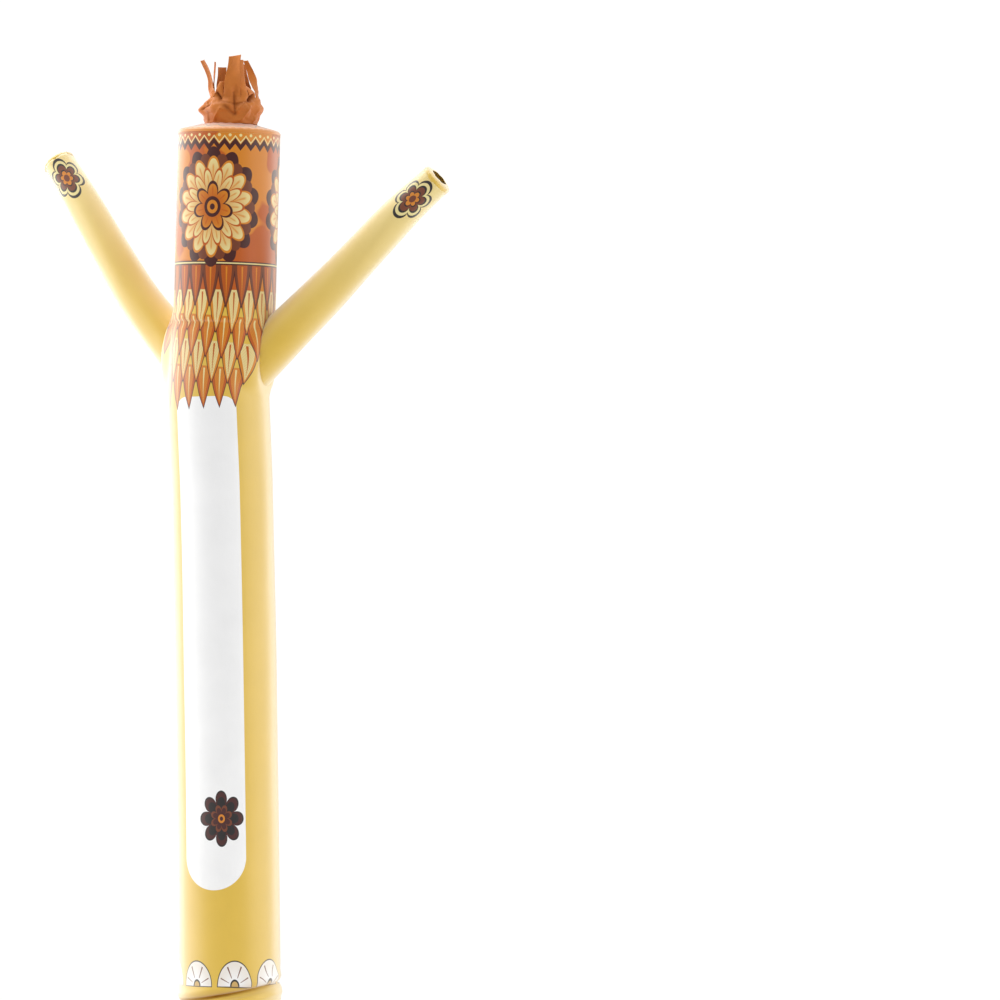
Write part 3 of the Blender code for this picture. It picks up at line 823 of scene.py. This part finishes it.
class Field:
    """A number that varies over a surface. Arithmetic on fields adds math nodes."""

    def __init__(self, socket):
        self.socket = socket

    def math(self, operation, *others, clamp=False):
        node = self.socket.id_data.nodes.new("ShaderNodeMath")
        node.operation = operation
        node.use_clamp = clamp
        for slot, term in zip(node.inputs, (self, *others)):
            feed(slot, term)
        return Field(node.outputs[0])

    __add__ = partialmethod(math, "ADD")
    __sub__ = partialmethod(math, "SUBTRACT")
    __mul__ = partialmethod(math, "MULTIPLY")
    __truediv__ = partialmethod(math, "DIVIDE")
    least = partialmethod(math, "MINIMUM")
    most = partialmethod(math, "MAXIMUM")
    size = partialmethod(math, "ABSOLUTE")
    clamped = partialmethod(math, "ADD", 0.0, clamp=True)

    def __rsub__(self, other):
        return self * -1.0 + other

    def over(self, edge, soft=0.0006):
        """1 where the field is above edge and 0 below it, over a soft width."""
        return ((self - edge) / soft).math("ADD", 0.5, clamp=True)

    def under(self, edge, soft=0.0006):
        return 1 - self.over(edge, soft)

    def wrap(self, width):
        """The field less whole turns of this width, between minus and plus half of it."""
        return self.math("WRAP", width / 2, -width / 2)

    def cell(self, width):
        """The middle of the cell of this width that the field is in."""
        return (self / width).math("FLOOR") * width + width / 2


def far(x, y):
    return (x * x + y * y).math("SQRT")


def turn_of(x, y):
    return x.math("ARCTAN2", y)


class Cloth:
    """A nylon material that is painted in layers, in metres on the cloth's flat place."""

    def __init__(self, name, ground):
        self.material, self.tree, self.shader = new_material(name)
        self.material.diffuse_color = ground
        place = self.tree.nodes.new("ShaderNodeUVMap")
        place.uv_map = "cloth"
        self.place = place.outputs[0]
        split = new_node(self.tree, "SeparateXYZ", {"Vector": self.place})
        self.across, self.along = Field(split.outputs[0]), Field(split.outputs[1])
        self.colour = ground
        self.dull = None

    def paint(self, mask, colour):
        self.colour = mixed(self.tree, mask, self.colour, colour)

    def noise(self, scale, detail=3.0, stretch=(1.0, 1.0, 1.0)):
        """Soft noise between 0 and 1 with spots of about 1/scale metres."""
        mapping = new_node(self.tree, "Mapping", {"Vector": self.place, "Scale": stretch})
        inputs = {"Vector": mapping.outputs[0], "Scale": scale, "Detail": detail}
        return Field(new_node(self.tree, "TexNoise", inputs).outputs[0])

    def weave(self):
        """The ripstop grid: thin raised threads a few millimetres apart, on a fine plain weave."""
        cross, line = (
            ((way / WEAVE_PITCH).math("FRACT") - 0.5).size().under(WEAVE_LINE, 0.05)
            for way in (self.across, self.along)
        )
        fine = (self.across * FINE_WEAVE).math("SINE") * (self.along * FINE_WEAVE).math("SINE")
        return cross.most(line) + fine * 0.12

    def finish(self, roughness=0.40, sheen=1.8, crumple=0.0, gloss=CLOTH_GLOSS):
        """Wear, weave and wrinkles, and a sheen at glancing angles, less of it where the cloth is dull."""
        wear = (self.noise(9.0, 4.0) - 0.5) * COLOUR_WEAR + 1
        rough = (self.noise(30.0) - 0.5) * ROUGHNESS_WEAR + roughness
        facing = new_node(self.tree, "LayerWeight", {"Blend": 0.5})
        glancing = Field(facing.outputs["Facing"]).math("MULTIPLY", sheen, clamp=True)
        if self.dull:
            glancing = glancing * (1 - self.dull)
            feed(self.shader.inputs["Specular IOR Level"], (1 - self.dull) * 0.5)
        height = self.weave() * WEAVE_RELIEF + self.noise(22.0, 3.0, (1.0, 0.6, 1.0)) * WRINKLE_RELIEF
        if crumple:
            height = height + self.noise(70.0, 5.0) * crumple
        relief = new_node(self.tree, "Bump", {"Distance": 1.0, "Strength": 0.6, "Height": height})
        feed_all(self.shader, {
            "Base Color": mixed(self.tree, 1.0, self.colour, wear, "MULTIPLY"),
            "Roughness": rough,
            "IOR": gloss,
            "Sheen Weight": glancing,
            "Sheen Roughness": SHEEN_SPREAD,
            "Sheen Tint": SHEEN_TINT,
            "Normal": relief.outputs[0],
        })
        return self.material


def flower(cloth, radius, turn, size, rings, heart, on=1.0):
    """Rings of petals, some shaded towards their root, and the heart's dots, painted where on is 1."""
    for ring in rings:
        inner, outer = ring.inner * size, ring.outer * size
        wave = (turn * (ring.count / 2) + ring.shift).math("COSINE").size().math("POWER", ring.sharp)
        mask = (wave * (outer - inner) + inner - radius).over(0.0) * on
        cloth.paint(mask, ring.colour)
        if ring.shade:
            deep = 1 - ((radius - inner * 0.8) / (outer - inner * 0.8)).clamped()
            vein = wave.over(0.985, 0.02) * radius.under(outer * 0.88, 0.01)
            cloth.paint(mask * (deep * 0.75).most(vein * 0.8), ring.shade)
    for share, colour in heart:
        cloth.paint(radius.under(share * size) * on, colour)


def leaf_row(cloth, row):
    """A row of hanging pointed leaves, from half a row's cells to each side of the front."""
    x = cloth.across + row.shift * LEAF_WIDTH / 2
    middle = x.cell(LEAF_WIDTH)
    side = (x - middle).size()
    down = (row.top - cloth.along) / LEAF_LENGTH
    here = middle.size().under(row.cells * LEAF_WIDTH / 2 + 0.001, 0.001) * down.over(0.0, 0.005)
    inside = (1 - down.most(0.0).math("POWER", 1.7)) * (LEAF_WIDTH * 0.56) - side
    cloth.paint(inside.over(0.0) * here, MAROON)
    cloth.paint(inside.over(0.0022) * here, row.body)
    heart = (1 - ((down - 0.10) * 1.28).most(0.0).math("POWER", 1.5)) * (LEAF_WIDTH * 0.33) - side
    cloth.paint(heart.over(0.0) * here, row.heart)
    strokes = ((down * LEAF_LENGTH - side * 1.6) / 0.0085).math("FRACT").over(0.72, 0.25)
    cloth.paint(heart.over(0.0015) * here * strokes * 0.55, row.body)
    vein = ((0.82 - down) * 0.0035 - side).over(0.0) * down.over(0.05, 0.02)
    cloth.paint(vein * here, row.vein)


def front_panel(cloth):
    """The plain white panel, round at the bottom and with rounded corners at the top."""
    below = (cloth.along - (PANEL_LOW + PANEL_HALF)).least(0.0)
    beside = (cloth.across.size() - (PANEL_HALF - PANEL_CORNER)).most(0.0)
    above = (cloth.along - (PANEL_HIGH - PANEL_CORNER)).most(0.0)
    bottom = far(cloth.across, below).under(PANEL_HALF)
    cloth.paint(bottom * far(beside, above).under(PANEL_CORNER), WHITE)


def head(cloth):
    """The head's mottled ground, rows of leaves, a trim, three rosettes and a zigzag with dots."""
    across, along = cloth.across, cloth.along
    cloth.paint(along.over(HEAD_LOW), ORANGE)
    cloth.paint(along.over(HEAD_LOW) * cloth.noise(5.0, 2.0).over(0.52, 0.02), AMBER)
    for row in LEAF_ROWS:
        leaf_row(cloth, row)
    for low, high, colour in ((2.413, 2.425, MAROON), (2.417, 2.421, CREAM)):
        cloth.paint(along.over(low) * along.under(high), colour)
    x, y = across.wrap(TRUNK_ROUND / 3), (along - ROSETTE_HEIGHT) / ROSETTE_STRETCH
    flower(cloth, far(x, y), turn_of(x, y), ROSETTE_SIZE, ROSETTE, ROSETTE_HEART, along.over(2.0))
    step = TRUNK_ROUND / TEETH
    band = along - ZIGZAG_HEIGHT - ((across / step).math("FRACT") - 0.5).size() * TOOTH_HEIGHT
    for low, high, colour in ((0.0, 0.018, MAROON), (0.021, 0.026, CREAM)):
        cloth.paint(band.over(low) * band.under(high), colour)
    dot = far(across - across.cell(step), along - DOTS_HEIGHT)
    cloth.paint(dot.under(DOT_RADIUS), CREAM)


def scallops(cloth):
    """A row of scallop shells by the foot."""
    x = cloth.across - cloth.across.cell(TRUNK_ROUND / SHELLS)
    y = cloth.along - SHELL_HEIGHT
    arch = far(x, y / SHELL_STRETCH)
    feet = y.over(0.0)
    rays = (turn_of(x, y) * 4.5).math("COSINE").size().under(0.16, 0.06)
    cloth.paint(arch.under(0.0520) * y.over(-0.0025), INK)
    cloth.paint(arch.under(0.0495) * feet, WHITE)
    cloth.paint(arch.under(0.0495) * feet * arch.over(0.026, 0.03) * 0.25, TAN)
    cloth.paint(arch.under(0.0440) * arch.over(0.018) * feet * rays, BROWN)
    cloth.paint(arch.under(0.0135) * feet, INK)
    cloth.paint(arch.under(0.0095) * feet, TAN)


def foot_shade(cloth):
    """Painted shade in the fold at the foot, a dark line with softer shade above it, and a mask of where it
    is deepest.
    """
    turn = cloth.across / TRUNK_RADIUS - math.radians(FOLD_TURN)
    above = cloth.along - (turn.math("SINE") * FOOT_SHADE_TILT + FOOT_SHADE_HEIGHT)
    near = (1 - cloth.across.size() / 0.30).most(0.0)
    cloth.paint((1 - above / 0.022).most(0.0) * above.over(0.0, 0.002) * near * 0.8, OCHRE)
    deep = ((1 - above.size() / 0.011) * 1.6).clamped() * near
    cloth.paint(deep, OCHRE)
    return deep


def trunk_cloth():
    cloth = Cloth("trunk_cloth_look", YELLOW)
    front_panel(cloth)
    head(cloth)
    x, y = cloth.across - FLOWER_ASIDE, (cloth.along - FLOWER_HEIGHT) / FLOWER_STRETCH
    on = cloth.along.under(1.0)
    flower(cloth, far(x, y), turn_of(x, y), FLOWER_SIZE, DARK_FLOWER, DARK_HEART, on)
    scallops(cloth)
    # Painted shade in the fold at the foot; the cloth is also less glossy there and on the head.
    cloth.dull = foot_shade(cloth).most(cloth.along.over(2.16, 0.12) * 0.45)
    # The hem's folded cloth is a little darker.
    cloth.paint(cloth.along.under(HEM_HEIGHT) * 0.25, BROWN)
    return cloth.finish()


def arm_cloth(arm):
    cloth = Cloth(f"arm_cloth_{arm.name}_look", YELLOW)
    _, _, above = arm_frames(arm, arm.path[-1].reach)
    flower_way = outward(FOLD_TURN)
    front = math.atan2(above @ flower_way, outward(arm.azimuth + 90) @ flower_way)
    # Painted light: each arm is painted paler towards its hand, standing in for the light that brightens it
    # there.
    cloth.paint(cloth.along.under(0.36, 0.60) * 0.85, PALE)
    x = (cloth.across - front * ARM_MIDDLE_RADIUS).wrap(math.tau * ARM_MIDDLE_RADIUS)
    y = cloth.along - ARM_FLOWER_FROM_HAND
    flower(cloth, far(x, y / FLOWER_STRETCH), turn_of(x, y), 1.0, ARM_FLOWER, ARM_HEART)
    return cloth.finish(gloss=ARM_GLOSS)


def hand_cloth(arm):
    return Cloth(f"hand_cloth_{arm.name}_look", YELLOW).finish()


def crown_cloth():
    """Amber with an orange middle and a wavy ring round it."""
    cloth = Cloth("crown_cloth_look", AMBER)
    wave = (turn_of(cloth.across, cloth.along) * 9).math("COSINE").size() * 0.018
    radius = far(cloth.across, cloth.along) - wave
    cloth.paint(radius.over(0.110) * radius.under(0.118), MAROON)
    cloth.paint(radius.under(0.104), ORANGE)
    return cloth.finish(sheen=0.8)


def in_fold(cloth, fold):
    """A soft mask of painted shade in a fold of the hair: more of it in a deeper fold."""
    run_x = math.radians(turn_between(fold.to_angle, fold.angle)) * HAIR_RADIUS
    run_y = fold.to_height - fold.height
    x = (cloth.across - math.radians(fold.angle) * HAIR_RADIUS).wrap(HAIR_ROUND)
    y = cloth.along - fold.height
    share = ((x * run_x + y * run_y) / (run_x**2 + run_y**2)).clamped()
    distance = far(x - share * run_x, y - share * run_y)
    return (1 - distance / (fold.width * 1.6)).most(0.0) * min(1.0, -fold.depth / 0.014)


def hair_cloth():
    cloth = Cloth("hair_cloth_look", RUST)
    cloth.paint((cloth.noise(16.0) - 0.42) * 0.9, BROWN)
    # Painted shade in the hair's valleys, darker in deeper ones; the cloth is also less glossy there.
    for fold in HAIR_FOLDS:
        if fold.depth < 0:
            valley_shade = in_fold(cloth, fold)
            cloth.paint(valley_shade, BROWN)
            cloth.dull = cloth.dull.most(valley_shade) if cloth.dull else valley_shade
    return cloth.finish(roughness=0.55, sheen=0.1, crumple=0.0010, gloss=HAIR_GLOSS)


# Thread.

# The rings of points of one stitch, whose ends sink into the cloth.
STITCH_RINGS = table("along fat lift", [
    (-0.50, 0.2, -0.0003), (-0.32, 0.9, 0.0002), (0.32, 0.9, 0.0002), (0.50, 0.2, -0.0003),
])


def thread_along(name, line, out, material, slot, closed=False):
    """Short stitches, evenly spaced along a line of points, each standing proud along out."""
    if closed:
        line, out = (np.concatenate([part, part[:1]]) for part in (line, out))
    run = np.append(0, np.cumsum(steps_along(line)))
    count = int(run[-1] / STITCH_STEP)
    at = np.arange(count) * run[-1] / count if closed else (np.arange(count) + 0.5) * STITCH_STEP
    places, outs = (np.stack([np.interp(at, run, column) for column in part.T], -1) for part in (line, out))
    ahead = np.roll(places, -1, 0) - places if closed else np.gradient(places, axis=0)
    turns = np.arange(STITCH_SIDES) * math.tau / STITCH_SIDES
    verts = []
    for place, heading, up in zip(places, unit(ahead), unit(outs)):
        way = np.outer(np.cos(turns), np.cross(heading, up)) + np.outer(np.sin(turns), up)
        for ring in STITCH_RINGS:
            middle = place + heading * ring.along * STITCH_LENGTH + up * ring.lift
            verts += (middle + way * THREAD_RADIUS * ring.fat).tolist()
    index = np.arange(len(STITCH_RINGS) * STITCH_SIDES).reshape(-1, STITCH_SIDES)
    right = np.roll(index, -1, 1)
    quads = np.stack([index[:-1], right[:-1], right[1:], index[1:]], -1).reshape(-1, 4)
    stitch = [*quads, index[0, ::-1], index[-1]]
    faces = [face + first for first in range(0, len(verts), index.size) for face in stitch]
    piece = add_mesh(name, verts, faces)
    piece.data.shade_smooth()
    dress(piece, material, slot)


def thread_look():
    material, tree, shader = new_material("thread_look")
    place = new_node(tree, "TexCoord", {})
    twist = new_node(tree, "TexWave", {"Scale": THREAD_TWIST, "Vector": place.outputs["Object"]})
    twist.bands_direction = "DIAGONAL"
    relief = new_node(tree, "Bump", {"Distance": 0.0002, "Height": twist.outputs["Fac"]})
    dark, light = (tuple(share * part for part in THREAD_COLOUR) + (1.0,) for share in (0.7, 1.0))
    feed_all(shader, {
        "Base Color": mixed(tree, twist.outputs["Fac"], dark, light),
        "Normal": relief.outputs[0],
        "Roughness": 0.6,
        "Sheen Weight": 0.4,
    })
    return material


def sew(thread):
    """Thread round the hem, the crown's seam, the arms' seams and the hands' seams."""
    angle = np.arange(240) * 1.5
    rings = (("hem_thread_low", 0.0055), ("hem_thread_high", 0.0245), ("crown_thread", TRUNK_TOP - 0.006))
    for name, height in rings:
        points, _ = trunk_surface(angle, np.full(angle.shape, height))
        thread_along(name, points, (points - BASE) * (1, 1, 0), thread, "trunk_cloth", closed=True)
    turn = np.arange(120) * 3.0
    for arm in ARMS:
        for part, reach in (("arm", arm_root(arm, turn) + 0.005), ("hand", arm.path[-1].reach - 0.004)):
            points = arm_surface(arm, turn, reach)
            name, slot = f"{part}_thread_{arm.name}", f"{part}_cloth_{arm.name}"
            thread_along(name, points, points - points.mean(0), thread, slot, closed=True)


# The studio. Its places are metres aside and near as the camera sees them, and up.

CAMERA_TURN = math.radians(14.1)
CAMERA_AWAY = 16.0
CAMERA_ASIDE = 0.802
CAMERA_HEIGHT = 1.52
CAMERA_LENS = 193.2
CAMERA_SENSOR = 36.0
CAMERA_END = 200.0
PICTURE_MIDDLE = 1.719  # height of the picture's middle on the dancer
RIGHT = Vector((math.cos(CAMERA_TURN), math.sin(CAMERA_TURN), 0))
TOWARDS = Vector((math.sin(CAMERA_TURN), -math.cos(CAMERA_TURN), 0))
LIT_POINT = (0.0, 0.0, 1.6)
LIGHTS = table("name aside near height wide tall glow", [
    ("left_softbox", -4.2, 0.4, 1.8, 3.6, 5.0, 1.9),
    ("left_rim", -2.8, -3.2, 1.8, 3.4, 5.0, 2.8),
    ("right_softbox", 4.4, 1.6, 1.8, 4.0, 5.0, 1.6),
    ("right_rim", 3.2, -2.8, 1.8, 1.8, 5.0, 2.2),
    ("top_softbox", -1.2, -1.2, 6.4, 5.0, 4.0, 3.4),
])
STUDIO_LIGHT = 0.63  # how brightly the studio's white walls light the dancer
BACKDROP_LIGHT = 1.05  # and how bright they look behind it
FLOOR_GLOW = 0.05
FLOOR_GREY = 0.72
FLOOR_ROUGHNESS = 0.9
FLOOR_RADIUS = 2.5
FLOOR_SIDES = 96


def studio_point(aside, near, height):
    return Vector(BASE) + RIGHT * aside + TOWARDS * near + Vector((0, 0, height))


def aim(name, data, place, target):
    """A camera or lamp at a place, pointed at a target."""
    obj = add_object(name, data)
    obj.location = place
    obj.rotation_euler = (Vector(target) - place).to_track_quat("-Z", "Y").to_euler()
    return obj


def camera():
    eye = studio_point(CAMERA_ASIDE, CAMERA_AWAY, CAMERA_HEIGHT)
    target = eye - TOWARDS * CAMERA_AWAY
    target.z = PICTURE_MIDDLE
    data = bpy.data.cameras.new("camera")
    data.lens = CAMERA_LENS
    data.sensor_width = CAMERA_SENSOR
    data.clip_end = CAMERA_END
    bpy.context.scene.camera = aim("camera", data, eye, target)


def lamp(light):
    data = bpy.data.lights.new(light.name, "AREA")
    data.shape = "RECTANGLE"
    data.size, data.size_y = light.wide, light.tall
    data.energy = light.glow * math.pi * light.wide * light.tall
    aim(light.name, data, studio_point(light.aside, light.near, light.height), LIT_POINT)


def walls():
    """The studio's white walls, which look brighter to the camera than they light the dancer."""
    world = bpy.data.worlds.new("studio")
    bpy.context.scene.world = world
    world.use_nodes = True
    seen = new_node(world.node_tree, "LightPath", {})
    inputs = {"To Min": STUDIO_LIGHT, "To Max": BACKDROP_LIGHT, "Value": seen.outputs["Is Camera Ray"]}
    strength = new_node(world.node_tree, "MapRange", inputs)
    background = world.node_tree.nodes["Background"]
    feed_all(background, {"Strength": strength.outputs[0], "Color": (1, 1, 1, 1)})


def floor():
    turns = np.arange(FLOOR_SIDES) * math.tau / FLOOR_SIDES
    rim = [(FLOOR_RADIUS * math.cos(turn), FLOOR_RADIUS * math.sin(turn), 0.0) for turn in turns]
    piece = add_mesh("studio_floor", rim, [tuple(range(FLOOR_SIDES))])
    material, _, shader = new_material("floor_look")
    feed_all(shader, {
        "Base Color": (FLOOR_GREY, FLOOR_GREY, FLOOR_GREY, 1),
        "Roughness": FLOOR_ROUGHNESS,
        "Emission Color": (1, 1, 1, 1),
        "Emission Strength": FLOOR_GLOW,
    })
    piece.data.materials.append(material)


def main():
    bpy.context.scene.view_settings.view_transform = "Standard"
    camera()
    trunk_material = trunk_cloth()
    arm_materials = [arm_cloth(arm) for arm in ARMS]
    trunk_skin(trunk_material)
    crown_skin(crown_cloth())
    hair_tube(hair_cloth())
    for arm, material in zip(ARMS, arm_materials):
        arm_skin(arm, material)
        hand_skin(arm, hand_cloth(arm))
    thread = thread_look()
    sew(thread)
    seams(trunk_material, arm_materials, thread)
    for light in LIGHTS:
        lamp(light)
    walls()
    floor()


main()
